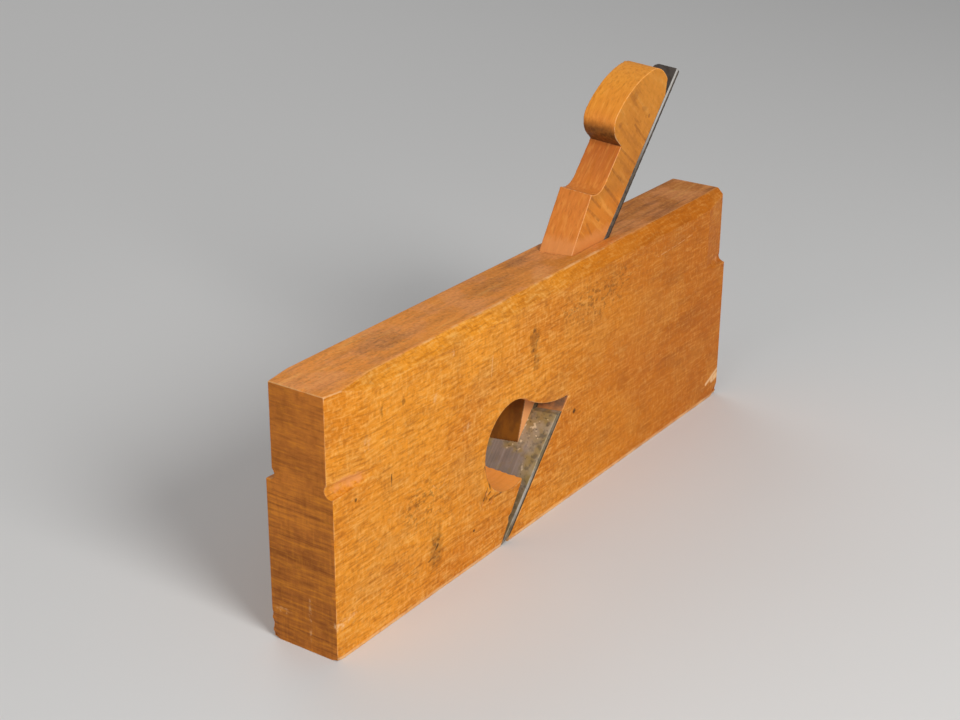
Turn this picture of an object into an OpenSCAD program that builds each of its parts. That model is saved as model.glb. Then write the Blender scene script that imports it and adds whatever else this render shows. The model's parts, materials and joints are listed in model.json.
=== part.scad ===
// Wooden rebate plane: a one-piece beech stock, a skewed iron as wide as the sole, and its wedge.
// Origin at the middle of the sole. +X runs from toe to heel, -Y is the left-hand side, +Z is up.
// All sizes are in millimetres and all angles in degrees.
// Distances up the bed follow its slope, in line with the sides of the stock.

/* [Stock] */
// Length of the stock, from toe to heel
stock_l = 241.3; // [200:0.1:300]
// Width of the stock and of the cutting edge
stock_w = 25.4; // [22:0.1:32]
// Height of the stock
stock_h = 85.7; // [76:0.1:96]
// Chamfer of the left top edge at the heel
top_chamfer_heel = 4.8; // [1:0.1:6]
// Chamfer of the left top edge where its run-out begins
top_chamfer_toe = 3.7; // [1:0.1:6]
// Chamfer left at the end of the run-out, on the toe
top_chamfer_end = 0.7; // [0.3:0.1:1]
// Length of the run-out at the toe
top_run_out = 22; // [10:0.5:40]
// Chamfer of the right top edge
top_chamfer_right = 1; // [0.3:0.1:4]

/* [End chamfers] */
// Depth of the upright chamfers at the end faces
end_chamfer_d = 2.4; // [1:0.1:4]
// Length of the upright chamfers along the sides
end_chamfer_l = 15; // [8:0.5:30]
// Share of that depth and length left on the right of the heel
heel_right_share = 0.3; // [0.2:0.1:1]
// Height of the gouge cuts that stop the upright chamfers at the toe
gouge_z = 56.2; // [40:0.1:70]
// Height of the gouge cuts at the heel
heel_gouge_z = 58.5; // [40:0.1:70]
// Radius of the gouge cuts
gouge_r = 2.2; // [1.2:0.1:4]
// Depth of the gouge cuts below the chamfers at the toe
gouge_d = 0.8; // [0.3:0.1:1.1]
// Depth of the gouge cuts below the chamfers at the heel
heel_gouge_d = 0.2; // [0.1:0.1:1.1]

/* [Bed and mouth] */
// Pitch of the bed
bed_pitch = 47.5; // [45:0.5:52]
// Skew of the bed, seen from above
bed_skew = 14; // [8:0.5:18]
// Distance from the toe to the cutting edge, on the centre line
edge_from_toe = 83.7; // [70:0.1:110]
// Mouth opening ahead of the cutting edge
mouth_gap = 0.5; // [0.3:0.1:2]
// Pitch of the front wall of the mouth
throat_pitch = 58; // [54:0.5:64]

/* [Escapement] */
// Radius of the tapered bore on the left side
bore_r_left = 15.9; // [14:0.1:18]
// Radius of the tapered bore on the right side
bore_r_right = 11.5; // [10:0.1:12.5]
// Distance of the bore's axis behind the cutting edge
bore_back = 9; // [8:0.1:13]
// Height of the bore's axis above the sole
bore_z = 35; // [32:0.1:38]
// Radius of the tail that leads from the bore back to the bed
tail_r = 46; // [36:0.5:60]
// Angle around the bore at which the left tail begins
tail_angle_left = 57.2; // [54:0.1:62]
// Angle around the bore at which the right tail begins
tail_angle_right = 66; // [62:0.1:72]

/* [Iron] */
// Thickness of the iron
iron_t = 2.4; // [1.5:0.1:3.2]
// Length of iron that stands above the stock, up the bed
iron_above = 70.8; // [67:0.1:90]
// Room between the shoulders and the tail above them
shoulder_room = 4.8; // [2:0.1:8]
// Width of the tang
tang_w = 9; // [6:0.1:11]
// Radius of the tang's top right corner
tang_corner_r = 2.5; // [0.5:0.1:5]
// Angle of the ground bevel
bevel_angle = 28; // [22:0.5:32]

/* [Wedge] */
// Width of the wedge
wedge_w = 11.8; // [11.2:0.1:13]
// Left side of the wedge, measured from the centre line
wedge_left = 3.8; // [3:0.1:5]
// Taper of the wedge
wedge_angle = 9.7; // [8:0.1:11]
// Thickness of the wedge where it leaves the stock
wedge_t = 18.4; // [16.5:0.1:20]
// Depth of the wedge's tip below the bore's axis
tip_drop = 8.3; // [3:0.1:9]
// Angle of the bevel at the wedge's tip, off the iron
tip_bevel = 27; // [20:0.5:40]
// Distance from the top of the stock to the ledge, up the bed
ledge_above = 6.2; // [4:0.1:14]
// Width of the flat on the ledge
ledge_flat = 1.2; // [0.5:0.1:3]
// Radius of the cove above the ledge
cove_r = 8; // [5:0.1:9]
// Thickness of the wedge at its neck
neck_t = 14.3; // [12:0.1:15.6]
// Distance from the ledge to the underside of the head
neck_l = 23.6; // [18:0.1:30]
// Length of the head
head_l = 35; // [30:0.1:42]
// Greatest thickness of the head
head_t = 24.6; // [22:0.1:28]
// Radius of the head's nose
nose_r = 6.2; // [4:0.1:7]
// Radius of the long curve over the head
crown_r = 42; // [34:0.5:60]
// Radius of the head's top
top_r = 11; // [9:0.1:12]
// Distance of that radius' centre from the iron
top_rise = 6.3; // [4:0.1:8]
// Length of the cut that eases the head's back corner
back_ease = 5.5; // [2:0.1:8]

/* [Fits] */
// Clearance on each side of the wedge
side_fit = 0.25; // [0.1:0.05:0.5]
// Clearance between faces that are pressed together
face_fit = 0.1; // [0.05:0.05:0.2]

/* [Hidden] */
$fn = 96;
arc_steps = 24;
overcut = 5;
overlap = 2;
tail_lap = 0.15;
reach = 2*stock_l;
half_l = stock_l/2;
half_w = stock_w/2;
run_out_x = top_run_out - half_l;
edge_x = edge_from_toe - half_l;
bed_top = stock_h/sin(bed_pitch);
bore_c = [edge_x + bore_back, bore_z];
flare = overcut*(bore_r_left - bore_r_right)/stock_w;
mortise_left = -wedge_left - side_fit;
mortise_right = wedge_w - wedge_left + side_fit;
tang_right = tang_w - wedge_left;
bed_roll = atan(tan(bed_skew)*sin(bed_pitch));
tail_low = min(tail_c(bore_r_left, tail_angle_left).y, tail_c(bore_r_right, tail_angle_right).y) - tail_r;
shoulder_z = tail_low - shoulder_room;
iron_l = bed_top + iron_above;
tip_z = bore_z - tip_drop;
feather_x = bed_top - (wedge_t - face_fit)/tan(wedge_angle);
ledge_x = bed_top + ledge_above;
cove_x = ledge_x + ledge_flat;
head_x = ledge_x + neck_l;
head_end = head_x + head_l;
nose_c = [head_x + nose_r, head_t - nose_r];
top_c = [head_end - top_r, top_rise];
crown_c = meet(nose_c, crown_r - nose_r, top_c, crown_r - top_r);
cove_c = [cove_x + sqrt(cove_r^2 - (taper(cove_x) - neck_t - cove_r)^2), neck_t + cove_r];
top_arc_end = -asin((top_rise - face_fit)/top_r/2);

// Thickness of the wedge's taper at a distance up the bed
function taper(x) = wedge_t + (x - bed_top)*tan(wedge_angle);

// Direction of an angle, as a vector
function ray(angle) = [cos(angle), sin(angle)];

// Angle of one point seen from another
function heading(from, to) = atan2(to.y - from.y, to.x - from.x);

// Points along an arc
function arc(c, r, from, to) = [for (i = [0:arc_steps]) c + r*ray(from + (to - from)*i/arc_steps)];

// Centre of a tail that runs on smoothly from the bore
function tail_c(bore_r, angle) = bore_c + (bore_r + tail_r - tail_lap)*ray(angle);

// Where two circles meet, on the right of the line from the first centre to the second
function meet(a, ra, b, rb) =
    let (
        d = norm(b - a),
        u = (b - a)/d,
        along = (ra^2 - rb^2 + d^2)/(2*d),
        off = sqrt(ra^2 - along^2))
    a + along*u + off*[u.y, -u.x];

// Frame of a skewed plane through the cutting edge: X up the slope, Z out of its front
module slope(pitch, ahead = 0) {
    translate([edge_x - ahead, 0, 0])
        rotate([atan(tan(bed_skew)*sin(pitch)), -pitch, 0])
            children();
}

// All that lies in front of a skewed plane, from a depth below it
module in_front(pitch, depth = 0) {
    slope(pitch)
        translate([-reach, -reach, -depth])
            cube([2*reach, 2*reach, reach]);
}

// All that lies behind a skewed plane
module behind(pitch, ahead = 0) {
    slope(pitch, ahead)
        translate([-reach, -reach, -reach])
            cube([2*reach, 2*reach, reach]);
}

// A slice across the width, between two heights
module slice(left, right, low, high) {
    translate([-reach, left, low])
        cube([2*reach, right - left, high - low]);
}

// An outline in X and Z, carried across the width
module across(left, right) {
    translate([0, right, 0])
        rotate([90, 0, 0])
            linear_extrude(right - left)
                children();
}

// Upright chamfer on one corner, at a share of its full size, stopped by a gouge cut at a height
module end_chamfer(share, stop_z, stop_d) {
    cut_l = end_chamfer_l + 3*overcut;
    translate([half_l, half_w - share*end_chamfer_d, stop_z])
        rotate([0, 0, 180 - atan(end_chamfer_d/end_chamfer_l)])
            translate([-overcut, 0, 0]) {
                translate([0, -stock_w, 0])
                    cube([cut_l, stock_w, stock_h]);
                translate([0, stop_d - gouge_r, 0])
                    rotate([0, 90, 0])
                        cylinder(r = gouge_r, h = cut_l);
            }
}

// All that a sloping chamfer takes off the left top edge: its width at one place, and its growth to the heel
module edge_chamfer(x, width, growth) {
    translate([x, -half_w, stock_h])
        rotate([45, 0, 0])
            translate([0, 0, -width/sqrt(2)])
                rotate([0, atan(growth/sqrt(2)), 0])
                    translate([-reach, -reach, 0])
                        cube([2*reach, 2*reach, reach]);
}

// The planed block with its chamfers
module blank() {
    difference() {
        translate([-half_l, -half_w, 0])
            cube([stock_l, stock_w, stock_h]);
        for (side = [0, 1])
            mirror([0, side, 0]) {
                end_chamfer(side == 0 ? heel_right_share : 1, heel_gouge_z, heel_gouge_d);
                mirror([1, 0, 0])
                    end_chamfer(1, gouge_z, gouge_d);
            }
        intersection() {
            edge_chamfer(run_out_x, top_chamfer_toe, (top_chamfer_toe - top_chamfer_end)/top_run_out);
            edge_chamfer(run_out_x, top_chamfer_toe, (top_chamfer_heel - top_chamfer_toe)/(half_l - run_out_x));
        }
        mirror([0, 1, 0])
            edge_chamfer(0, top_chamfer_right, 0);
    }
}

// Outline under a tail, from the bore back past the bed, lapping the throat below it
module tail(bore_r, angle) {
    start = bore_c + bore_r*ray(angle);
    difference() {
        translate([start.x - overlap, bore_z - overlap])
            square([stock_h, start.y - bore_z + overlap]);
        translate(tail_c(bore_r, angle))
            circle(r = tail_r);
    }
}

// Room between the bed and the wall that the wedge bears on
module mortise() {
    intersection() {
        slope(bed_pitch)
            across(-stock_w, stock_w)
                polygon([[0, -stock_h], [0, taper(0) + face_fit],
                    [reach, taper(reach) + face_fit], [reach, -stock_h]]);
        slice(mortise_left, mortise_right, bore_z, stock_h + overcut);
    }
}

// Tapered bore, its tails, the throat down to the mouth, and the mortise, all in front of the bed
module escapement() {
    intersection() {
        in_front(bed_pitch, iron_t + face_fit);
        union() {
            translate([bore_c.x, -half_w - overcut, bore_z])
                rotate([-90, 0, 0])
                    cylinder(r1 = bore_r_left + flare, r2 = bore_r_right - flare, h = stock_w + 2*overcut);
            across(-half_w - overcut, mortise_right)
                tail(bore_r_left, tail_angle_left);
            across(mortise_right, half_w + overcut)
                tail(bore_r_right, tail_angle_right);
            intersection() {
                behind(throat_pitch, mouth_gap);
                slice(-half_w - overcut, half_w + overcut, -overcut, bore_z);
            }
            mortise();
        }
    }
}

// One-piece beech body
module stock() {
    color("peru")
        difference() {
            blank();
            escapement();
        }
}

// Skewed plate of the iron's thickness, cut off at its top end
module plate() {
    slope(bed_pitch)
        translate([-reach, -reach, -iron_t])
            cube([reach + iron_l, 2*reach, iron_t]);
}

// What the rounded corner takes from the tang
module corner_waste() {
    slope(bed_pitch)
        translate([iron_l - tang_corner_r, tang_right/cos(bed_roll) - tang_corner_r, -reach])
            difference() {
                cube([2*tang_corner_r, 2*tang_corner_r, 2*reach]);
                cylinder(r = tang_corner_r, h = 2*reach);
            }
}

// Skewed iron: a blade as wide as the stock below the shoulders, and a narrow tang above
module iron() {
    color("dimgray")
        difference() {
            intersection() {
                plate();
                in_front(bed_pitch - bevel_angle);
                union() {
                    slice(-half_w, half_w, -overcut, shoulder_z);
                    slice(-wedge_left, tang_right, shoulder_z - overcut, reach);
                }
            }
            corner_waste();
        }
}

// Side view of the wedge: X up the bed, Y off the iron's face
module wedge_outline() {
    polygon(concat(
        [[feather_x, face_fit], [ledge_x, taper(ledge_x)]],
        arc(cove_c, cove_r, heading(cove_c, [cove_x, taper(cove_x)]) + 360, 270),
        [[head_x, neck_t]],
        arc(nose_c, nose_r, 180, heading(crown_c, nose_c)),
        arc(crown_c, crown_r, heading(crown_c, nose_c), heading(crown_c, top_c)),
        arc(top_c, top_r, heading(crown_c, top_c), top_arc_end),
        [[head_end - back_ease, face_fit]]));
}

// Wedge with its rounded head
module wedge() {
    color("sandybrown")
        intersection() {
            slope(bed_pitch)
                across(-stock_w, stock_w)
                    wedge_outline();
            slice(-wedge_left, wedge_w - wedge_left, 0, reach);
            translate([tip_z/tan(bed_pitch), 0, tip_z])
                behind(bed_pitch + tip_bevel);
        }
}

stock();
iron();
wedge();
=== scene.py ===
"""Looks of a wooden rebate plane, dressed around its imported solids.

The toe is at -X, the side with the opening at -Y, and the sole on the floor.
Places, reaches and widths of marks are in millimetres; Blender's own lengths are in metres.
"""
import json
import math

import bpy
import numpy as np
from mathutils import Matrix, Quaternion, Vector, noise


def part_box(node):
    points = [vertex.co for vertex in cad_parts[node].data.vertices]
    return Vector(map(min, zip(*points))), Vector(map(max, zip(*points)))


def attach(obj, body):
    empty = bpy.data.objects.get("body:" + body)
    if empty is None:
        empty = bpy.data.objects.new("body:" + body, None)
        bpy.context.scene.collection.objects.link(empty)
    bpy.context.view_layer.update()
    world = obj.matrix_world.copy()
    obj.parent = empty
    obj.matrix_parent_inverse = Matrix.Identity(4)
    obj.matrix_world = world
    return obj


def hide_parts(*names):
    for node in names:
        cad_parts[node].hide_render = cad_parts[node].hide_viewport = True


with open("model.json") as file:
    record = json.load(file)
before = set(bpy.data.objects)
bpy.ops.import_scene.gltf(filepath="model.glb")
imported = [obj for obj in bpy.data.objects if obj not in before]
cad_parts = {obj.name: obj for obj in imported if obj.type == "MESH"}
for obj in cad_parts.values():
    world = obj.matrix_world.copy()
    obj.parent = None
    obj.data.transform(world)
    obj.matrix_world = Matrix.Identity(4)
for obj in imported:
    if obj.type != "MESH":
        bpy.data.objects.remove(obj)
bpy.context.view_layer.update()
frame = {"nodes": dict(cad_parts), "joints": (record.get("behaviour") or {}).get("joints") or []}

MM = 0.001


def millimetres(corner):
    return [round(float(length) / MM, 3) for length in corner]


# Faces of the stock, and the left face of the wedge
(TOE, LEFT, SOLE), (HEEL, RIGHT, TOP) = map(millimetres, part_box("stock"))
WEDGE_LEFT = millimetres(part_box("wedge")[0])[1]

# The way up the bed, along which the iron is set, and the way out of the bed
UP_THE_BED = Vector(next(joint["axis"] for joint in frame["joints"] if joint["name"] == "iron_set"))
BED_SKEW = math.radians(14)
EDGE_LINE = Vector((-math.sin(BED_SKEW), math.cos(BED_SKEW), 0))
OUT_OF_THE_BED = UP_THE_BED.cross(EDGE_LINE).normalized()


# Worn meshes

# How far a point sinks, as a share of a voxel, when it counts as near an edge
LEAST_SINK = 0.01


def dense_mesh(node, voxel):
    """Closed mesh of small even quads over a solid."""
    carrier = bpy.data.objects.new("carrier", frame["nodes"][node].data.copy())
    bpy.context.collection.objects.link(carrier)
    remesh = carrier.modifiers.new("even_quads", "REMESH")
    remesh.mode = "VOXEL"
    remesh.voxel_size = voxel * MM
    graph = bpy.context.evaluated_depsgraph_get()
    mesh = bpy.data.meshes.new_from_object(carrier.evaluated_get(graph))
    bpy.data.objects.remove(carrier)
    return mesh


def read_vectors(items, field):
    flat = np.empty(len(items) * 3, dtype=np.float32)
    items.foreach_get(field, flat)
    return flat.reshape(-1, 3).astype(float)


def relaxed(points, edges, rounds):
    """The points after each has moved halfway to its neighbours' middle, several times over."""
    count = len(points)
    first, second = edges[:, 0], edges[:, 1]
    neighbours = np.bincount(edges.ravel(), minlength=count)[:, None]
    for _ in range(rounds):
        total = np.empty_like(points)
        for axis in range(3):
            along = points[:, axis]
            total[:, axis] = np.bincount(first, along[second], count)
            total[:, axis] += np.bincount(second, along[first], count)
        points = (points + total / neighbours) / 2
    return points


def patchy(points, size, seed):
    """Smooth noise from 0 to 1 at each point, with patches of about the given size."""
    shift = Vector((seed, seed * 2, seed * 3))
    return np.array([0.5 + noise.noise(Vector(p) / (size * MM) + shift) / 2 for p in points])


def add_measure(mesh, name, values):
    layer = mesh.attributes.new(name, "FLOAT", "POINT")
    layer.data.foreach_set("value", np.clip(values, 0, 1).astype(np.float32))


def worn_mesh(node, voxel, rounds, least_wear, wear_patch, nicks, seed):
    """A solid's mesh with its outer edges rubbed round unevenly, and with nicks pressed in.

    Each point keeps how much edge was rubbed off there, and how deep in an inner corner it lies.
    """
    mesh = dense_mesh(node, voxel)
    points = read_vectors(mesh.vertices, "co")
    normals = read_vectors(mesh.vertices, "normal")
    edges = np.empty(len(mesh.edges) * 2, dtype=np.int32)
    mesh.edges.foreach_get("vertices", edges)
    pull = relaxed(points, edges.reshape(-1, 2), rounds) - points
    sunk = -(pull * normals).sum(axis=1) / (voxel * MM)
    near_edge = np.abs(sunk) > LEAST_SINK
    share = np.zeros(len(points))
    share[near_edge] = least_wear + (1 - least_wear) * patchy(points[near_edge], wear_patch, seed)
    points += pull * share[:, None]
    for place, reach, depth in nicks:
        away = np.linalg.norm(points - np.array(place) * MM, axis=1) / (reach * MM)
        dip = np.clip(1 - away ** 2, 0, 1) ** 2
        points -= normals * (dip * depth * MM)[:, None]
    mesh.vertices.foreach_set("co", points.astype(np.float32).ravel())
    add_measure(mesh, "rubbed", sunk)
    add_measure(mesh, "corner", -sunk)
    mesh.shade_smooth()
    mesh.update()
    return mesh


def thinned(mesh, name, share):
    """An object of the mesh with fewer faces where it is flat."""
    piece = bpy.data.objects.new(name, mesh)
    bpy.context.collection.objects.link(piece)
    fewer = piece.modifiers.new("fewer_faces", "DECIMATE")
    fewer.ratio = share
    flat = piece.modifiers.new("flat_faces", "WEIGHTED_NORMAL")
    flat.weight = 80
    graph = bpy.context.evaluated_depsgraph_get()
    light = bpy.data.meshes.new_from_object(piece.evaluated_get(graph))
    piece.modifiers.clear()
    piece.data = light
    bpy.data.meshes.remove(mesh)
    return piece


# Materials

def srgb(red, green, blue):
    """Linear colour for the shaders, from one written as a screen shows it."""
    def linear(value):
        share = value / 255
        return share / 12.92 if share <= 0.04045 else ((share + 0.055) / 1.055) ** 2.4
    return (linear(red), linear(green), linear(blue), 1.0)


def between(share, first, second):
    """A colour the given share of the way from one to another."""
    return tuple(one + share * (other - one) for one, other in zip(first, second))


class Finish:
    """A node material, built by methods that add a node and hand back its output."""

    def __init__(self, name, specular=0.5, metallic=0.0):
        self.material = bpy.data.materials.new(name)
        self.material.use_nodes = True
        self.tree = self.material.node_tree
        self.shader = self.tree.nodes["Principled BSDF"]
        self.shader.inputs["Specular IOR Level"].default_value = specular
        self.shader.inputs["Metallic"].default_value = metallic
        coordinates = self.tree.nodes.new("ShaderNodeTexCoord")
        self.facing = coordinates.outputs["Normal"]
        self.place = self.vector("MULTIPLY", coordinates.outputs["Object"], (1 / MM,) * 3)

    def plug(self, socket, value):
        if isinstance(value, bpy.types.NodeSocket):
            self.tree.links.new(value, socket)
        else:
            socket.default_value = value

    def math(self, operation, first, second=0.0):
        node = self.tree.nodes.new("ShaderNodeMath")
        node.operation = operation
        self.plug(node.inputs[0], first)
        self.plug(node.inputs[1], second)
        return node.outputs[0]

    def vector(self, operation, first, second):
        node = self.tree.nodes.new("ShaderNodeVectorMath")
        node.operation = operation
        self.plug(node.inputs[0], first)
        self.plug(node.inputs[1], second)
        return node.outputs["Value" if operation == "DOT_PRODUCT" else "Vector"]

    def length(self, vector):
        node = self.tree.nodes.new("ShaderNodeVectorMath")
        node.operation = "LENGTH"
        self.plug(node.inputs[0], vector)
        return node.outputs["Value"]

    def size(self, value):
        """The value without its sign."""
        return self.math("ABSOLUTE", value)

    def parts(self, vector):
        node = self.tree.nodes.new("ShaderNodeSeparateXYZ")
        self.plug(node.inputs[0], vector)
        return node.outputs

    def turned(self, degrees):
        """Places turned about Y, for grain that runs at a slant."""
        node = self.tree.nodes.new("ShaderNodeVectorRotate")
        node.rotation_type = "Y_AXIS"
        self.plug(node.inputs["Vector"], self.place)
        self.plug(node.inputs["Angle"], math.radians(degrees))
        return node.outputs[0]

    def noise(self, sizes, detail=2.0, place=None, shift=0.0):
        """Noise from 0 to 1, with patches of the given sizes along X, Y and Z."""
        scaled = self.vector("DIVIDE", place or self.place, sizes)
        node = self.tree.nodes.new("ShaderNodeTexNoise")
        self.plug(node.inputs["Vector"], self.vector("ADD", scaled, (shift,) * 3))
        node.inputs["Scale"].default_value = 1.0
        node.inputs["Detail"].default_value = detail
        return node.outputs[0]

    def band(self, value, low, high):
        """0 below low, 1 above high and smooth between; low may be the larger one."""
        node = self.tree.nodes.new("ShaderNodeMapRange")
        node.interpolation_type = "SMOOTHSTEP"
        self.plug(node.inputs["Value"], value)
        node.inputs["From Min"].default_value = low
        node.inputs["From Max"].default_value = high
        return node.outputs[0]

    def level(self, value, low, high):
        """A share from 0 to 1 spread evenly from low to high."""
        node = self.tree.nodes.new("ShaderNodeMapRange")
        self.plug(node.inputs["Value"], value)
        node.inputs["To Min"].default_value = low
        node.inputs["To Max"].default_value = high
        return node.outputs[0]

    def measure(self, name):
        node = self.tree.nodes.new("ShaderNodeAttribute")
        node.attribute_name = name
        return node.outputs["Fac"]

    def mix(self, share, first, second):
        node = self.tree.nodes.new("ShaderNodeMix")
        node.data_type = "RGBA"
        self.plug(node.inputs[0], share)
        self.plug(node.inputs[6], first)
        self.plug(node.inputs[7], second)
        return node.outputs[2]

    def times(self, *shares):
        product = shares[0]
        for share in shares[1:]:
            product = self.math("MULTIPLY", product, share)
        return product

    def either(self, *shares):
        """The largest of several shares."""
        largest = shares[0]
        for share in shares[1:]:
            largest = self.math("MAXIMUM", largest, share)
        return largest

    def tint(self, base, colour, *shares):
        """The base with a colour laid over it, as strongly as all the shares together say."""
        return self.mix(self.times(*shares), base, colour)

    def spot(self, centre, reach, ragged):
        """1 in the middle of a mark with the given half sizes, 0 outside its ragged edge."""
        offset = self.vector("SUBTRACT", self.place, centre)
        away = self.length(self.vector("DIVIDE", offset, reach))
        torn = self.math("MULTIPLY", self.math("SUBTRACT", ragged, 0.5), 1.6)
        return self.band(self.math("ADD", away, torn), 1.0, 0.4)

    def scratch(self, start, end, width):
        """1 along a straight fine line, 0 off it."""
        along = Vector(end) - Vector(start)
        length = along.length
        offset = self.vector("SUBTRACT", self.place, start)
        reached = self.vector("DOT_PRODUCT", offset, along / length)
        clamped = self.math("MINIMUM", self.math("MAXIMUM", reached, 0.0), length)
        node = self.tree.nodes.new("ShaderNodeVectorMath")
        node.operation = "SCALE"
        node.inputs[0].default_value = along / length
        self.plug(node.inputs["Scale"], clamped)
        off = self.length(self.vector("SUBTRACT", offset, node.outputs[0]))
        return self.band(off, width, width * 0.4)

    def areas(self, marks, ragged):
        """1 in any of several marks, each with its middle and half sizes."""
        return self.either(*[self.spot(*mark, ragged) for mark in marks])

    def spots(self, marks, ragged):
        """The strongest of several marks, each with its middle, half sizes and strength."""
        return self.either(*[self.times(self.spot(*mark[:2], ragged), mark[2]) for mark in marks])

    def lines(self, marks):
        """1 along any of several fine lines, each with its start, end and half width."""
        return self.either(*[self.scratch(*mark) for mark in marks])

    def bump(self, height, strength, depth):
        node = self.tree.nodes.new("ShaderNodeBump")
        node.inputs["Strength"].default_value = strength
        node.inputs["Distance"].default_value = depth * MM
        self.plug(node.inputs["Height"], height)
        self.plug(self.shader.inputs["Normal"], node.outputs[0])

    def paint(self, colour, roughness):
        self.plug(self.shader.inputs["Base Color"], colour)
        self.plug(self.shader.inputs["Roughness"], roughness)


# The stock's wood

BEECH_PALE = srgb(230, 146, 36)
BEECH_DEEP = srgb(208, 122, 22)
BEECH_TAN = srgb(204, 134, 52)
BEECH_SHADED_HEEL = srgb(184, 98, 6)
BEECH_FLECK = srgb(132, 62, 4)
BEECH_LIGHT = srgb(246, 190, 104)
TOP_BROWN = srgb(240, 148, 54)
TOP_DARK = srgb(192, 116, 48)
TOP_STREAK = srgb(116, 64, 26)
TOP_PINK = srgb(232, 152, 92)
END_BROWN = srgb(194, 114, 40)
END_DARK = srgb(122, 64, 16)
END_SHADED = between(0.4, END_BROWN, END_DARK)
INNER_PINK = srgb(222, 146, 82)
FACET_LIT_ORANGE = srgb(238, 154, 68)
BARE_WOOD = srgb(240, 198, 146)
# Dark brown for dirt and pits, also laid on as painted shade in corners, under the wedge's head and on the
# iron
GRIME_AND_SHADE = srgb(44, 28, 12)
IRON_STAIN_AND_SHADE = srgb(108, 84, 66)

# How far a mark on a face reaches into the wood
SKIN = 2.0
# Dark marks on the stock: middle, half sizes and strength
STOCK_SMUDGES = (
    ((-15.7, LEFT, 68.5), (3.4, SKIN, 6.5), 0.7),
    ((-14.6, LEFT, 61.0), (2.2, SKIN, 4.5), 0.5),
    ((-71.0, LEFT, 16.4), (4.6, SKIN, 9.0), 0.65),
    ((-44.6, LEFT, 22.6), (2.8, SKIN, 3.0), 0.45),
    ((-79.0, 2.0, TOP), (14.0, 9.0, 3.0), 0.4),
    ((-22.0, 2.0, TOP), (18.0, 6.0, 3.0), 0.35),
    ((3.0, 8.0, TOP), (10.0, 4.0, 3.0), 0.55),
    ((34.0, RIGHT, 58.0), (7.0, SKIN, 4.0), 0.4),
    ((-66.0, RIGHT, 24.0), (4.0, SKIN, 7.0), 0.5),
    ((-98.0, RIGHT, 66.0), (9.0, SKIN, 4.0), 0.3),
    ((HEEL, 3.0, 40.0), (SKIN, 5.0, 9.0), 0.35),
)
# Small dark holes and dents: middle, half sizes and strength
STOCK_DENTS = (
    ((-110.4, LEFT, 49.9), (0.9, SKIN, 0.9), 0.8),
    ((-50.3, LEFT, 12.9), (0.8, SKIN, 0.8), 0.8),
    ((10.3, LEFT, 33.2), (1.2, SKIN, 1.2), 0.85),
    ((-30.4, LEFT, 0.6), (1.5, SKIN, 1.1), 0.9),
    ((-97.4, LEFT, 73.6), (0.9, SKIN, 2.2), 0.4),
    ((-87.0, LEFT, 72.6), (1.3, SKIN, 1.2), 0.4),
    ((70.0, RIGHT, 24.0), (1.1, SKIN, 1.1), 0.7),
    ((-84.0, RIGHT, 51.0), (0.9, SKIN, 1.3), 0.6),
)
# Dark torn lines: start, end and half width
STOCK_TEARS = (
    ((-42.6, LEFT, 25.2), (-44.8, LEFT, 21.7), 0.5),
    ((-41.0, LEFT, 23.3), (-42.2, LEFT, 22.3), 0.4),
    ((-38.8, LEFT, 21.1), (-41.6, LEFT, 20.7), 0.45),
    ((-33.7, LEFT, 20.4), (-38.8, LEFT, 20.5), 0.35),
    ((-44.3, LEFT, 33.7), (-41.0, LEFT, 24.5), 0.45),
    ((-115.7, LEFT, 73.6), (-115.0, LEFT, 70.6), 0.4),
    ((-112.3, LEFT, 73.0), (-111.0, LEFT, 70.4), 0.4),
    ((-113.4, LEFT, 78.0), (-110.8, LEFT, 75.2), 0.4),
    ((-93.4, LEFT, 51.2), (-93.5, LEFT, 47.5), 0.4),
    ((-70.2, LEFT, 17.0), (-72.8, LEFT, 13.7), 0.8),
    ((-72.4, LEFT, 14.0), (-75.0, LEFT, 12.9), 0.45),
)
# Wider areas where dark specks crowd: middle and half sizes
STOCK_SPECKLED = (
    ((-77.0, LEFT, 34.0), (17.0, 4.0, 13.0)),
    ((26.0, LEFT, 71.0), (30.0, 4.0, 12.0)),
    ((48.0, RIGHT, 34.0), (26.0, 4.0, 15.0)),
)
# Fine pale scratches: start, end and half width
STOCK_SCRATCHES = (
    ((66.0, LEFT, 73.8), (80.0, LEFT, 74.4), 0.18),
    ((80.0, LEFT, 74.4), (92.0, LEFT, 75.2), 0.15),
    ((-41.0, LEFT, 64.5), (-40.2, LEFT, 71.5), 0.26),
    ((-72.5, LEFT, 38.8), (-70.5, LEFT, 36.6), 0.2),
    ((-70.5, LEFT, 36.6), (-67.8, LEFT, 36.4), 0.24),
    ((-67.8, LEFT, 36.4), (-64.8, LEFT, 39.4), 0.22),
    ((-18.0, RIGHT, 68.0), (22.0, RIGHT, 64.5), 0.2),
    ((58.0, RIGHT, 40.0), (71.0, RIGHT, 47.0), 0.18),
)
# Rubbed pale places: middle, half sizes and strength
STOCK_SCUFFS = (
    ((-118.0, LEFT, 12.2), (4.4, SKIN, 2.2), 0.6),
    ((-113.4, LEFT, 12.8), (3.4, SKIN, 1.0), 0.45),
    ((-104.6, LEFT, 65.6), (2.4, SKIN, 3.0), 0.35),
    ((-54.5, LEFT, 52.0), (2.6, SKIN, 2.4), 0.35),
    ((-71.0, LEFT, 68.0), (2.4, SKIN, 2.0), 0.35),
    ((-62.0, LEFT, 79.5), (1.2, SKIN, 2.0), 0.5),
    ((TOE, -2.5, 12.0), (SKIN, 0.7, 10.0), 0.3),
    ((TOE, 8.0, 11.0), (SKIN, 4.0, 1.2), 0.3),
    ((-116.0, RIGHT, 20.0), (3.0, SKIN, 6.0), 0.45),
    ((117.0, RIGHT, 3.0), (4.0, SKIN, 3.0), 0.5),
    ((20.0, RIGHT, 1.0), (9.0, SKIN, 1.6), 0.4),
)
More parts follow.
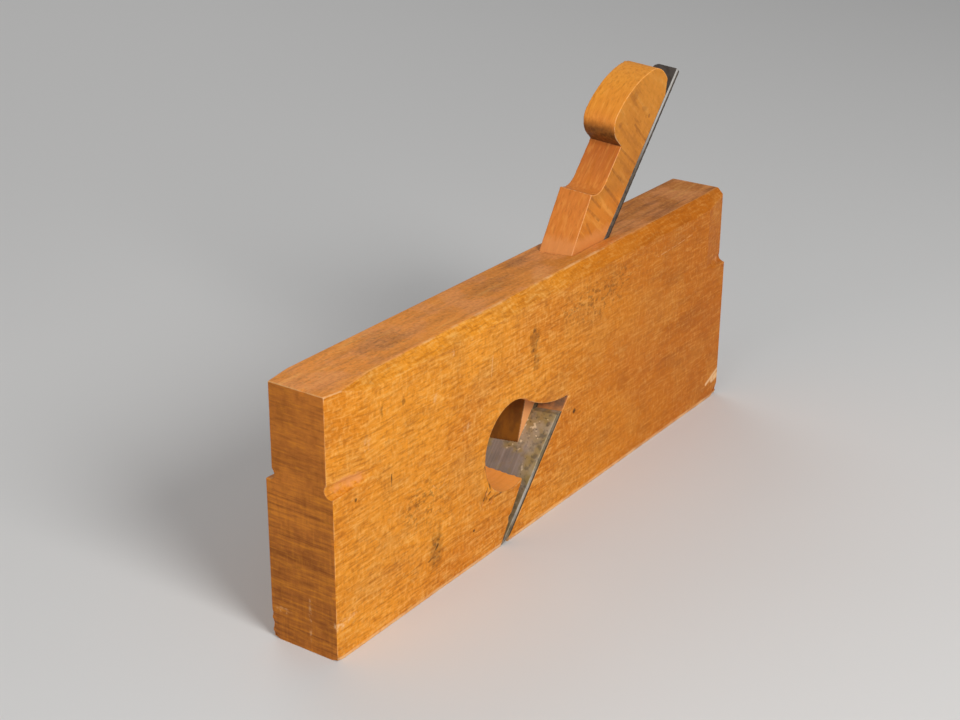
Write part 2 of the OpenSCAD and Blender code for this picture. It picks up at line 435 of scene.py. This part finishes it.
# Split-off corner at the foot of the heel: start, end and half width
STOCK_CHIPS = (
    ((120.4, LEFT, 10.8), (111.0, LEFT, 7.0), 0.9),
    ((120.4, LEFT, 8.4), (116.0, LEFT, 7.4), 1.7),
)
# The scoops that end the upright chamfers: middle and half sizes
STOCK_SCOOPS = (
    ((-113.0, -12.2, 56.6), (9.5, 3.0, 2.6)),
    ((-113.0, 12.2, 56.6), (9.5, 3.0, 2.6)),
    ((117.5, -12.4, 58.2), (3.5, 3.0, 1.6)),
    ((117.5, 12.5, 58.2), (4.5, 3.0, 2.0)),
)
# Distance from the middle past which a face across the stock is one of its ends
NEAR_END = 108.0
# Limits of the hollow inside the stock
HOLLOW_X, HOLLOW_Y, HOLLOW_Z = 60.0, 12.45, 80.0
# The long chamfer: its width in the middle of the stock and its growth to the heel
CHAMFER_WIDTH, CHAMFER_GROWTH = 4.195, 0.00502


class StockFinish(Finish):
    """Oiled beech: golden sides, a browner top, end grain with rings, and marks of use."""

    def __init__(self):
        super().__init__("stock_beech", specular=0.16)
        self.x, self.y, self.z = self.parts(self.place)
        nx, _, self.nz = self.parts(self.facing)
        self.ends = self.times(
            self.band(self.size(nx), 0.8, 0.93),
            self.band(self.size(self.x), NEAR_END, NEAR_END + 4))
        self.soft = self.noise((45, 30, 26), 3)
        self.torn = self.noise((2.2, 1.6, 2.2), 3, shift=7)
        self.fibre = self.noise((34, 1.5, 1.3), 3)
        self.patch = self.noise((11, 9, 7), 3, shift=14)
        self.crinkle = self.noise((1.1, 1.1, 2.0), 2.5, shift=71)
        self.dark_crinkle = self.band(self.crinkle, 0.52, 0.7)
        self.pale_crinkle = self.band(self.crinkle, 0.48, 0.3)
        # Growth rings lie nearly level, so they show as uneven lines on the toe and the heel
        self.rings = self.noise((300, 40, 0.9), 2, shift=3)
        self.late_wood = self.band(self.rings, 0.5, 0.72)
        self.now_and_then = self.band(self.noise((8, 6, 6), 3, shift=51), 0.4, 0.62)
        self.flecks = self.crowded_flecks()
        self.dented = self.spots(STOCK_DENTS, self.torn)
        broken = self.level(self.band(self.torn, 0.36, 0.56), 0.3, 0.8)
        self.tears = self.times(self.lines(STOCK_TEARS), broken)
        self.scratched = self.times(self.lines(STOCK_SCRATCHES), self.band(self.torn, 0.36, 0.6))
        self.lay()

    def crowded_flecks(self):
        """Short dark flecks, which crowd in places and towards the toe."""
        places = self.math("SUBTRACT", self.noise((26, 22, 16), 2, shift=5), 0.5)
        to_toe = self.band(self.x, 40, -115)
        crowd = self.math("ADD", self.times(places, 0.3), self.times(to_toe, 0.03))
        fleck = self.math("ADD", self.noise((3.6, 1.3, 0.85), 1.5, shift=11), crowd)
        fine_fleck = self.math("ADD", self.noise((3.0, 1.0, 0.75), 1, shift=41), crowd)
        return self.either(
            self.band(fleck, 0.61, 0.76),
            self.times(self.band(fine_fleck, 0.6, 0.74), 0.7))

    def side(self):
        """Golden wood, finer to the heel, and darker there as painted shade where the light falls off."""
        coarse = self.level(self.band(self.x, 50, -20), 0.5, 1.0)
        side = self.mix(self.band(self.soft, 0.3, 0.68), BEECH_DEEP, BEECH_PALE)
        # Painted shade: the side darkens towards the heel, where the light falls off
        side = self.tint(side, BEECH_SHADED_HEEL, self.band(self.x, -60, 110), 0.9)
        side = self.tint(side, BEECH_FLECK, self.band(self.fibre, 0.48, 0.72), 0.12)
        side = self.tint(side, BEECH_FLECK, self.band(self.patch, 0.5, 0.75), self.level(self.soft, 0.0, 0.3))
        chatter = self.noise((1.6, 50, 40), 2, shift=2)
        side = self.tint(side, BEECH_FLECK, self.band(chatter, 0.45, 0.7), self.band(self.x, -20, 60), 0.05)
        cloudy = self.noise((26, 9, 8), 3, shift=91)
        side = self.tint(side, BEECH_FLECK, self.band(cloudy, 0.5, 0.7), self.band(self.x, -10, 50), 0.32)
        faded = self.noise((15, 9, 13), 2, shift=81)
        side = self.tint(side, BEECH_TAN, self.band(faded, 0.48, 0.66), coarse, 0.45)
        grain = self.noise((2.6, 1.6, 1.3), 3, shift=61)
        side = self.tint(side, BEECH_FLECK, self.band(grain, 0.5, 0.72), coarse, 0.2)
        side = self.tint(side, BEECH_LIGHT, self.band(grain, 0.48, 0.26), coarse, 0.18)
        side = self.tint(side, BEECH_FLECK, self.dark_crinkle, coarse, 0.24)
        side = self.tint(side, BEECH_LIGHT, self.pale_crinkle, coarse, 0.26)
        hair = self.noise((6, 1.2, 0.7), 2, shift=85)
        side = self.tint(side, BEECH_FLECK, self.band(hair, 0.52, 0.7), coarse, 0.34)
        side = self.tint(side, BEECH_LIGHT, self.band(hair, 0.48, 0.3), coarse, 0.28)
        side = self.tint(side, BEECH_FLECK, self.flecks, coarse, 0.12)
        glint = self.noise((3.2, 1.2, 0.9), 1.5, shift=23)
        return self.tint(side, BEECH_LIGHT, self.band(glint, 0.62, 0.76), coarse, 0.14)

    def top(self):
        """Browner wood with long streaks, which darken behind the wedge; the whole top is darker towards the
        heel as painted shade.
        """
        streak = self.noise((20, 2.4, 3), 3, shift=4)
        behind = self.level(self.band(self.x, 0, 60), 0.24, 0.55)
        # Painted shade: the top darkens from the toe to the heel, where the light falls off
        top = self.mix(self.band(self.x, -110, 130), TOP_BROWN, TOP_DARK)
        top = self.tint(top, TOP_PINK, self.band(self.patch, 0.42, 0.62), 0.5)
        top = self.tint(top, TOP_STREAK, self.band(streak, 0.45, 0.7), behind)
        top = self.tint(top, TOP_STREAK, self.band(self.fibre, 0.48, 0.72), 0.16)
        top = self.tint(top, TOP_STREAK, self.dark_crinkle, 0.2)
        top = self.tint(top, BEECH_LIGHT, self.pale_crinkle, 0.2)
        top = self.tint(top, BEECH_LIGHT, self.band(streak, 0.45, 0.25), 0.3)
        return self.tint(top, TOP_STREAK, self.flecks, 0.2)

    def end(self):
        """End grain of the toe and the heel, with rings that are plainest low down."""
        low_down = self.level(self.band(self.z, 72, 40), 0.25, 1.0)
        end = self.mix(self.band(self.soft, 0.35, 0.65), END_BROWN, END_SHADED)
        end = self.tint(end, END_DARK, self.late_wood, low_down, 0.58)
        end = self.tint(end, BEECH_PALE, self.band(self.rings, 0.48, 0.3), low_down, 0.3)
        smear = self.noise((1, 5, 9), 3, shift=19)
        end = self.tint(end, END_DARK, self.band(smear, 0.52, 0.7), 0.28)
        rays = self.noise((1, 0.9, 8), 2, shift=9)
        end = self.tint(end, BEECH_PALE, self.band(rays, 0.5, 0.7), low_down, 0.14)
        end = self.tint(end, END_DARK, self.band(rays, 0.5, 0.32), low_down, 0.14)
        end = self.tint(end, END_DARK, self.band(self.torn, 0.52, 0.7), 0.2)
        end = self.tint(end, BEECH_PALE, self.band(self.torn, 0.48, 0.3), 0.14)
        hatch = self.noise((1, 6, 0.7), 2.5, shift=75)
        end = self.tint(end, END_DARK, self.band(hatch, 0.52, 0.7), 0.36)
        return self.tint(end, BEECH_PALE, self.band(hatch, 0.48, 0.3), 0.28)

    def hollowed(self, colour):
        """Paler wood in the hollow and the scoops, a facet painted brighter as if lit, and the iron's stain
        with painted shade on the bed.
        """
        inside = self.times(
            self.band(self.size(self.x), HOLLOW_X, HOLLOW_X - 5),
            self.band(self.size(self.y), HOLLOW_Y, HOLLOW_Y - 0.3),
            self.band(self.z, 0.8, 1.4),
            self.band(self.z, HOLLOW_Z, HOLLOW_Z - 2))
        scooped = self.areas(STOCK_SCOOPS, self.torn)
        colour = self.tint(colour, INNER_PINK, self.either(inside, scooped), 0.85)
        # Painted light: the up-facing facet low in the hollow is painted brighter and more orange
        lit_facet = self.tint(FACET_LIT_ORANGE, BEECH_DEEP, self.band(self.fibre, 0.45, 0.7), 0.3)
        lit_facet = self.tint(lit_facet, INNER_PINK, self.pale_crinkle, 0.4)
        on_lit_facet = self.times(inside, self.band(self.nz, 0.3, 0.7), self.band(self.z, 32, 27))
        colour = self.tint(colour, lit_facet, on_lit_facet, 0.9)
        # The iron's stain on the bed, which also stands in for painted shade there
        on_bed = self.band(self.vector("DOT_PRODUCT", self.facing, OUT_OF_THE_BED), 0.9, 0.97)
        uneven = self.level(self.band(self.torn, 0.35, 0.65), 0.65, 0.95)
        return self.tint(colour, IRON_STAIN_AND_SHADE, on_bed, inside, self.band(self.z, 34, 38), uneven)

    def soiled_and_shaded(self, colour):
        """Dark specks, smudges, dents and tears, and painted shade with dirt in the inner corners."""
        speck = self.band(self.noise((1.8, 1.1, 1.1), 2, shift=31), 0.5, 0.68)
        colour = self.tint(colour, GRIME_AND_SHADE, self.areas(STOCK_SPECKLED, self.soft), speck, 0.4)
        upright = self.noise((1.2, 1.2, 6), 3, shift=37)
        ragged = self.math("ADD", self.times(self.torn, 0.5), self.times(upright, 0.5))
        smudged = self.times(self.spots(STOCK_SMUDGES, ragged), self.level(speck, 0.45, 1.0))
        colour = self.tint(colour, GRIME_AND_SHADE, self.either(smudged, self.dented, self.tears))
        # Painted shade with dirt: the inner corners are darkened
        return self.tint(colour, GRIME_AND_SHADE, self.band(self.measure("corner"), 0.08, 0.6), 0.4)

    def bared(self, colour):
        """Pale wood at scratches, scuffs, the split corner and rubbed edges."""
        crumbs = self.band(self.noise((1.8, 1.6, 1.6), 3, shift=47), 0.4, 0.66)
        scuffed = self.times(self.spots(STOCK_SCUFFS, self.torn), crumbs)
        splinters = self.level(self.band(self.torn, 0.3, 0.5), 0.2, 0.8)
        chipped = self.times(self.lines(STOCK_CHIPS), splinters)
        scratched = self.times(self.scratched, 0.4)
        return self.tint(colour, BARE_WOOD, self.either(scratched, scuffed, chipped, self.edges()))

    def edges(self):
        """How bare the edges are: here and there, and more along the top and the sole."""
        upper = self.times(self.band(self.z, TOP - 2.7, TOP - 0.7), 0.6)
        lower = self.times(self.band(self.z, 1.2, 0.5), 0.5)
        rubbed = self.times(
            self.band(self.measure("rubbed"), 0.06, 0.4),
            self.either(self.times(self.now_and_then, 0.35), upper, lower))
        sole_arris = self.times(
            self.band(self.z, 1.5, 0.9),
            self.band(self.size(self.y), RIGHT - 0.8, RIGHT - 0.4),
            self.level(self.now_and_then, 0.5, 1.0),
            0.6)
        chamfer = self.math("ADD", self.times(self.x, CHAMFER_GROWTH), LEFT + CHAMFER_WIDTH)
        chamfer_arris = self.times(
            self.band(self.size(self.math("SUBTRACT", self.y, chamfer)), 0.6, 0.25),
            self.band(self.z, TOP - 0.7, TOP - 0.3),
            self.band(self.x, -95, -70),
            self.band(self.x, 70, 40),
            self.now_and_then,
            0.4)
        return self.either(rubbed, chamfer_arris, sole_arris)

    def lay(self):
        on_top = self.times(self.band(self.nz, 0.86, 0.96), self.band(self.z, TOP - 2.7, TOP - 1.7))
        colour = self.tint(self.side(), self.top(), on_top, 0.92)
        colour = self.tint(colour, self.end(), self.ends)
        polished = self.mix(self.band(self.fibre, 0.4, 0.7), BEECH_DEEP, TOP_DARK)
        on_sole = self.times(self.band(self.nz, -0.9, -0.97), self.band(self.z, 0.6, 0.2))
        colour = self.tint(colour, polished, on_sole, 0.6)
        colour = self.bared(self.soiled_and_shaded(self.hollowed(colour)))
        uneven = self.math("ADD", self.times(self.soft, 0.5), self.times(self.torn, 0.5))
        self.paint(colour, self.level(uneven, 0.42, 0.66))
        late_wood = self.times(self.late_wood, self.ends)
        pressed = self.either(self.flecks, self.scratched, self.dented, self.tears, late_wood)
        relief = self.math("ADD", self.times(self.fibre, 0.4), self.crinkle)
        self.bump(self.math("SUBTRACT", relief, pressed), 0.3, 0.12)


# The wedge's wood

WEDGE_PALE = srgb(232, 148, 44)
WEDGE_DEEP = srgb(202, 116, 28)
WEDGE_RED = srgb(214, 124, 46)
WEDGE_NECK = srgb(172, 88, 36)
WEDGE_LIGHT = srgb(248, 178, 84)
WEDGE_RAY = srgb(150, 80, 16)
# Dark browns for the front of the wedge's foot, grime and painted shade together
WEDGE_GRIME_AND_SHADE = srgb(84, 48, 0)
WEDGE_OLIVE_GRIME_AND_SHADE = srgb(122, 74, 4)
WEDGE_TIP = srgb(240, 178, 122)
# Turns of the grain, which runs up the bed, and of the rays across it
GRAIN_TURN = math.degrees(math.atan2(UP_THE_BED.z, UP_THE_BED.x))
RAY_TURN = -42.0
# Height up to which the mortise kept the wedge clean, and where its head begins
CLEAN_BELOW, HEAD_ABOVE = 91.5, 128.0
# Dark places on the wedge's left side: middle, half sizes and strength
WEDGE_BLOTCHES = (
    ((60.1, WEDGE_LEFT, 133.4), (3.6, SKIN, 2.4), 0.4),
    ((70.5, WEDGE_LEFT, 124.1), (0.9, SKIN, 0.9), 0.6),
    ((62.2, WEDGE_LEFT, 120.5), (1.3, SKIN, 1.1), 0.4),
    ((50.6, WEDGE_LEFT, 124.9), (1.6, SKIN, 1.1), 0.4),
    ((66.8, WEDGE_LEFT, 127.2), (2.4, SKIN, 1.5), 0.3),
)
# Dark ray streaks on the wedge's left side: start, end and half width
WEDGE_STREAKS = (
    ((40.7, WEDGE_LEFT, 105.7), (51.5, WEDGE_LEFT, 95.5), 0.9),
    ((45.8, WEDGE_LEFT, 110.2), (53.7, WEDGE_LEFT, 103.4), 0.8),
    ((49.8, WEDGE_LEFT, 117.4), (61.8, WEDGE_LEFT, 108.3), 0.6),
    ((30.3, WEDGE_LEFT, 99.6), (37.8, WEDGE_LEFT, 93.7), 0.8),
    ((31.9, WEDGE_LEFT, 103.6), (38.5, WEDGE_LEFT, 98.0), 0.7),
    ((29.7, WEDGE_LEFT, 94.5), (33.7, WEDGE_LEFT, 88.5), 0.7),
    ((60.6, WEDGE_LEFT, 122.8), (68.9, WEDGE_LEFT, 115.0), 0.7),
)


class WedgeFinish(Finish):
    """Beech with its grain up the bed: a golden head, a red foot and rays on the sides."""

    def __init__(self):
        super().__init__("wedge_beech", specular=0.25)
        self.z = self.parts(self.place)[2]
        self.nx, ny, self.nz = self.parts(self.facing)
        self.sides = self.band(self.size(ny), 0.7, 0.9)
        self.soft = self.noise((24, 18, 20), 3, shift=3)
        self.torn = self.noise((1.8, 1.4, 1.8), 3, shift=17)
        self.rise = self.math("ADD", self.z, self.times(self.soft, 30))
        self.lengthwise = self.turned(GRAIN_TURN)
        self.fibre = self.noise((16, 1.1, 1.1), 3, self.lengthwise)
        self.fleck = self.band(self.noise((3.4, 1.1, 1.2), 1.5, self.lengthwise, 27), 0.6, 0.74)
        self.lay()

    def front(self):
        """Red low down and golden on the head, with a darker neck."""
        front = self.mix(self.band(self.rise, HEAD_ABOVE, HEAD_ABOVE + 24), WEDGE_RED, WEDGE_PALE)
        neck = self.times(self.band(self.z, 97, 101), self.band(self.z, 122, 116))
        front = self.tint(front, WEDGE_NECK, neck, self.level(self.band(self.z, 102, 116), 0.1, 0.7))
        front = self.tint(front, WEDGE_DEEP, self.band(self.fibre, 0.5, 0.72), 0.5)
        front = self.tint(front, WEDGE_LIGHT, self.band(self.fibre, 0.47, 0.28), 0.2)
        front = self.tint(front, WEDGE_RAY, self.fleck, 0.24)
        fine = self.noise((5, 0.8, 0.8), 2, self.lengthwise, 43)
        front = self.tint(front, WEDGE_RAY, self.band(fine, 0.52, 0.72), 0.24)
        return self.tint(front, WEDGE_LIGHT, self.band(fine, 0.48, 0.28), 0.18)

    def side(self):
        """Rays across the grain, and a pale tip."""
        across = self.turned(RAY_TURN)
        rays = self.noise((14, 3, 2.2), 3, across, 5)
        side = self.mix(self.band(self.rise, 100, 150), WEDGE_DEEP, WEDGE_PALE)
        side = self.tint(side, WEDGE_RAY, self.band(rays, 0.5, 0.7), 0.3)
        side = self.tint(side, WEDGE_LIGHT, self.band(rays, 0.45, 0.3), 0.3)
        fleck = self.noise((2.4, 2.0, 1.2), 2, across, 13)
        side = self.tint(side, WEDGE_RAY, self.band(fleck, 0.56, 0.74), 0.22)
        broken = self.level(self.band(self.torn, 0.3, 0.6), 0.5, 1.0)
        streaks = self.times(self.lines(WEDGE_STREAKS), broken, 0.5)
        blotches = self.spots(WEDGE_BLOTCHES, self.torn)
        side = self.tint(side, WEDGE_RAY, self.either(streaks, blotches))
        return self.tint(side, WEDGE_TIP, self.band(self.z, 72, 62), 0.9)

    def lay(self):
        colour = self.mix(self.sides, self.front(), self.side())
        ragged = self.math("ADD", self.times(self.torn, 3), self.times(self.soft, 4))
        foot = self.math("ADD", self.z, ragged)
        colour = self.tint(colour, INNER_PINK, self.band(foot, CLEAN_BELOW + 4, CLEAN_BELOW), 0.6)
        # Painted shade with grime: the front of the wedge's foot, deep in the mortise, is painted dark brown
        cloudy = self.noise((5, 4, 7), 3, shift=53)
        tip_grime_and_shade = self.mix(self.band(cloudy, 0.38, 0.62), WEDGE_GRIME_AND_SHADE, WEDGE_OLIVE_GRIME_AND_SHADE)
        tip_front = self.times(self.band(self.z, 64, 52), self.band(self.nx, -0.2, -0.5))
        colour = self.tint(colour, tip_grime_and_shade, tip_front, 0.88)
        # Painted shade with dirt: darker in the inner corners and on the underside of the head
        corner = self.times(self.band(self.measure("corner"), 0.05, 0.5), 0.6)
        dirt_and_shade_under_head = self.times(
            self.band(self.nz, 0.4, -0.4),
            self.band(self.z, 98, 104),
            self.level(self.torn, 0.5, 1.2),
            self.level(self.sides, 1.0, 0.7),
            0.85)
        colour = self.tint(colour, GRIME_AND_SHADE, self.either(corner, dirt_and_shade_under_head))
        rubbed = self.times(self.band(self.measure("rubbed"), 0.06, 0.4), self.band(self.torn, 0.28, 0.5))
        colour = self.tint(colour, BARE_WOOD, rubbed, 0.75)
        self.paint(colour, self.level(self.torn, 0.4, 0.64))
        self.bump(self.math("SUBTRACT", self.fibre, self.times(self.fleck, 0.6)), 0.3, 0.1)


# The iron's steel

STEEL_GREY = srgb(182, 166, 140)
STEEL_DARK = srgb(84, 76, 70)
STEEL_BLACK = between(0.5, STEEL_DARK, GRIME_AND_SHADE)
STEEL_DULL = srgb(136, 122, 106)
STEEL_CLEAN = srgb(160, 147, 134)
STEEL_BRIGHT = srgb(214, 210, 204)
RUST = srgb(164, 142, 88)
RUST_PALE = srgb(238, 220, 180)
# The middle of the cutting edge
EDGE_FROM_TOE = 83.7
EDGE = (TOE + EDGE_FROM_TOE, 0.0, 0.0)
# Distances up the iron: end of the rubbed clean stretch, and start of the tang
CLEAN_END, TANG_START = 36.0, 62.0


class IronFinish(Finish):
    """Old steel: clean above the edge, mottled with rust higher up, and dark on the tang."""

    def __init__(self):
        super().__init__("iron_steel", metallic=0.3)
        self.y = self.parts(self.place)[1]
        from_edge = self.vector("SUBTRACT", self.place, EDGE)
        self.up = self.vector("DOT_PRODUCT", from_edge, UP_THE_BED)
        self.depth = self.times(self.vector("DOT_PRODUCT", from_edge, OUT_OF_THE_BED), -1.0)
        self.cloud = self.noise((7, 5, 6), 3)
        self.mottle = self.noise((2.2, 2.0, 2.2), 3, shift=5)
        self.pits = self.band(self.noise((1.2, 1.2, 1.2), 2, shift=9), 0.62, 0.72)
        self.rusty = self.rust()
        self.lay()

    def rust(self):
        """Grey and brown clouds with pale crust and dark pits."""
        rusty = self.mix(self.band(self.cloud, 0.35, 0.65), STEEL_GREY, RUST)
        rusty = self.tint(rusty, STEEL_DARK, self.band(self.mottle, 0.48, 0.7), 0.6)
        crust = self.noise((1.7, 1.5, 1.7), 1.5, shift=15)
        off_arris = self.band(self.y, -12.0, -11.0)
        rusty = self.tint(rusty, RUST_PALE, self.band(crust, 0.63, 0.7), off_arris, 0.85)
        return self.tint(rusty, GRIME_AND_SHADE, self.pits, 0.5)

    def face(self):
        """Rubbed clean behind the mouth, rusty with painted shade in the slot, and dark up the tang."""
        scored = self.noise((26, 0.9, 0.9), 2, self.turned(GRAIN_TURN), 21)
        clean = self.tint(STEEL_CLEAN, STEEL_DARK, self.band(scored, 0.42, 0.7), 0.28)
        clean = self.tint(clean, RUST, self.band(self.mottle, 0.5, 0.7), 0.35)
        clean = self.tint(clean, STEEL_DARK, self.band(self.cloud, 0.42, 0.62), 0.2)
        clean = self.tint(clean, STEEL_BRIGHT, self.band(scored, 0.45, 0.25), 0.18)
        ragged = self.math("ADD", self.up, self.times(self.math("SUBTRACT", self.cloud, 0.5), 18))
        low_down = self.band(ragged, CLEAN_END, CLEAN_END - 3)
        face = self.tint(self.rusty, clean, low_down, self.band(self.y, -9.5, -7))
        # Painted shade: the face darkens low down at its edge in the slot, beside the throat
        face = self.tint(face, GRIME_AND_SHADE, self.band(self.up, 30, 22), self.band(self.y, -7, -9.5), 0.45)
        tang = self.mix(self.band(self.mottle, 0.4, 0.7), STEEL_DARK, STEEL_BLACK)
        return self.mix(self.band(self.up, TANG_START, TANG_START + 12), face, tang)

    def flank(self):
        """The iron's thin sides: painted highlights near the mouth and high on the tang, painted shade inside
        the stock and in the gap at the back, and darker steel behind on the tang.
        """
        in_stock = self.band(self.up, 90, 70)
        flank = self.mix(self.band(self.mottle, 0.4, 0.7), STEEL_DULL, STEEL_DARK)
        flank = self.mix(in_stock, flank, self.mix(0.35, self.rusty, STEEL_DARK))
        # Painted shade: the flank darkens inside the stock, most towards the bed
        flank = self.tint(flank, GRIME_AND_SHADE, in_stock, self.level(self.band(self.depth, 1.1, 1.7), 0.4, 0.8))
        # Painted highlight: a bright band on the flank near the mouth
        near_mouth = self.times(self.band(self.up, 34, 26), self.band(self.up, 8, 16))
        lit = self.times(self.band(self.depth, 1.5, 0.9), self.level(self.mottle, 1.0, 0.3))
        flank = self.tint(flank, STEEL_BRIGHT, near_mouth, lit, 0.75)
        # Painted shade: a dark line at the back of the flank, in the gap against the bed
        flank = self.tint(flank, GRIME_AND_SHADE, self.band(self.depth, 1.5, 2.0), in_stock, 0.8)
        flank = self.tint(flank, GRIME_AND_SHADE, self.band(self.up, 100, 110), 0.5)
        # Painted highlight: a bright strip along the front of the flank high on the tang
        high_up = self.band(self.up, 142, 168)
        flank = self.tint(flank, STEEL_BRIGHT, self.band(self.depth, 1.3, 1.0), high_up, 0.85)
        return self.tint(flank, GRIME_AND_SHADE, self.band(self.depth, 1.4, 1.8), self.band(self.up, 95, 105), 0.7)

    def lay(self):
        sides = self.band(self.size(self.parts(self.facing)[1]), 0.6, 0.85)
        colour = self.tint(self.face(), self.flank(), sides, 0.9)
        # Rubbed arrises turn bright steel, made stronger as a painted highlight near the mouth and high on
        # the tang
        rubbed = self.times(
            self.band(self.measure("rubbed"), 0.06, 0.35),
            self.band(self.depth, 1.0, 0.5),
            self.level(self.cloud, 0.1, 1.0))
        wear_and_highlight = self.either(
            self.times(self.band(self.up, 34, 26), 0.5),
            self.times(self.band(self.up, 142, 168), 0.4),
            0.04)
        colour = self.tint(colour, STEEL_BRIGHT, rubbed, wear_and_highlight)
        # Painted shade: a dark line along the arrises in the opening
        arris = self.band(self.measure("rubbed"), 0.04, 0.25)
        shade_in_opening = self.times(self.band(self.up, 30, 40), self.band(self.up, 100, 90))
        colour = self.tint(colour, GRIME_AND_SHADE, arris, shade_in_opening, 0.35)
        dulled = self.times(self.either(arris, sides), self.band(self.up, 165, 140), 0.85)
        self.paint(colour, self.either(self.level(self.mottle, 0.3, 0.6), dulled))
        self.bump(self.math("SUBTRACT", self.times(self.mottle, 0.6), self.pits), 0.3, 0.08)


# Pieces

# Nicks pressed into edges and faces: place, reach and depth
STOCK_NICKS = (
    ((TOE, RIGHT, 4.6), 2.4, 0.55),
    ((TOE, RIGHT, 8.4), 1.5, 0.25),
    ((TOE, RIGHT, SOLE), 3.0, 0.8),
    ((TOE, LEFT, SOLE), 2.6, 0.6),
    ((-42.6, LEFT, 23.0), 1.6, 0.5),
    ((-44.8, LEFT, 20.0), 1.5, 0.45),
    ((-39.6, LEFT, 18.8), 1.6, 0.45),
    ((-27.6, LEFT, 5.0), 2.6, 1.1),
    ((-28.6, LEFT, 8.5), 1.8, 0.8),
    ((-112.0, LEFT, 72.5), 2.2, 0.3),
    ((-97.4, LEFT, 73.6), 1.8, 0.25),
    ((TOE, -3.0, TOP), 2.0, 0.3),
    ((-46.6, -9.5, 85.2), 1.6, 0.35),
    ((TOE, LEFT, 40.0), 1.4, 0.3),
    ((TOE, LEFT, 22.0), 1.6, 0.35),
    ((HEEL, LEFT, SOLE), 5.0, 1.4),
)
WEDGE_NICKS = (
    ((8.0, 6.0, 97.0), 1.6, 0.35),
    ((9.4, 1.0, 99.2), 1.4, 0.3),
)
IRON_NICKS = (
    ((88.3, -3.0, 140.6), 1.4, 0.25),
    ((87.6, 2.0, 140.6), 1.6, 0.2),
)


def dress(node, slot, finish, share, **wear):
    """Put a worn and painted mesh in a solid's place, on the solid's own body."""
    piece = thinned(worn_mesh(node, **wear), node + "_worn", share)
    piece.data.materials.clear()
    piece.data.materials.append(finish.material)
    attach(piece, node)
    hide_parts(node)


dress("stock", "stock_beech", StockFinish(), 0.12, voxel=0.3, rounds=5, least_wear=0.25,
      wear_patch=9, nicks=STOCK_NICKS, seed=1)
dress("wedge", "wedge_beech", WedgeFinish(), 0.25, voxel=0.25, rounds=4, least_wear=0.3,
      wear_patch=6, nicks=WEDGE_NICKS, seed=2)
dress("iron", "iron_steel", IronFinish(), 0.2, voxel=0.2, rounds=3, least_wear=0.4,
      wear_patch=4, nicks=IRON_NICKS, seed=3)


# Floor, light and camera

FLOOR_PALE = srgb(222, 221, 219)
FLOOR_ROUGHNESS = 0.7
# Half the floor's side in metres, and its drop below the sole in millimetres
FLOOR_HALF, FLOOR_DROP = 6.0, 0.02
SKY_PALE, SKY_STRENGTH = srgb(225, 226, 228), 0.36
# Where the lamps point, in metres
MIDDLE = (0.0, 0.0, 0.05)
# The camera's place and aim, its roll in degrees, and its lens and sensor
CAMERA_PLACE = (-451.47, -291.07, 281.12)
CAMERA_AIM = (15.55, 30.74, 39.86)
CAMERA_ROLL = 0.396
CAMERA_LENS, CAMERA_SENSOR = 63.905, 36.0


def floor():
    signs = ((-1, -1), (1, -1), (1, 1), (-1, 1))
    corners = [(sx * FLOOR_HALF, sy * FLOOR_HALF, -FLOOR_DROP * MM) for sx, sy in signs]
    mesh = bpy.data.meshes.new("floor")
    mesh.from_pydata(corners, [], [(0, 1, 2, 3)])
    plane = bpy.data.objects.new("floor", mesh)
    bpy.context.collection.objects.link(plane)
    paint = bpy.data.materials.new("floor_pale")
    paint.use_nodes = True
    shader = paint.node_tree.nodes["Principled BSDF"]
    shader.inputs["Base Color"].default_value = FLOOR_PALE
    shader.inputs["Roughness"].default_value = FLOOR_ROUGHNESS
    mesh.materials.append(paint)


def sky():
    studio = bpy.data.worlds.new("studio")
    studio.use_nodes = True
    background = studio.node_tree.nodes["Background"]
    background.inputs["Color"].default_value = SKY_PALE
    background.inputs["Strength"].default_value = SKY_STRENGTH
    bpy.context.scene.world = studio


def softbox(name, place, size, watts):
    lamp = bpy.data.lights.new(name, "AREA")
    lamp.shape = "DISK"
    lamp.size = size
    lamp.energy = watts
    holder = bpy.data.objects.new(name, lamp)
    bpy.context.collection.objects.link(holder)
    holder.location = place
    holder.rotation_euler = (Vector(MIDDLE) - Vector(place)).to_track_quat("-Z", "Y").to_euler()


def camera():
    eye = bpy.data.cameras.new("camera")
    eye.lens = CAMERA_LENS
    eye.sensor_width = CAMERA_SENSOR
    eye.clip_start = 0.01
    holder = bpy.data.objects.new("camera", eye)
    bpy.context.collection.objects.link(holder)
    start = Vector(CAMERA_PLACE) * MM
    holder.location = start
    turn = (Vector(CAMERA_AIM) * MM - start).to_track_quat("-Z", "Y")
    holder.rotation_mode = "QUATERNION"
    holder.rotation_quaternion = turn @ Quaternion((0, 0, 1), math.radians(CAMERA_ROLL))
    bpy.context.scene.camera = holder


floor()
sky()
softbox("key", place=(-0.34, -0.92, 0.66), size=0.5, watts=9.6)
softbox("toe_fill", place=(-1.2, -0.1, 0.6), size=0.8, watts=3.0)
softbox("back", place=(0.6, 1.0, 0.9), size=0.9, watts=2.5)
camera()
bpy.context.scene.view_settings.view_transform = "Standard"
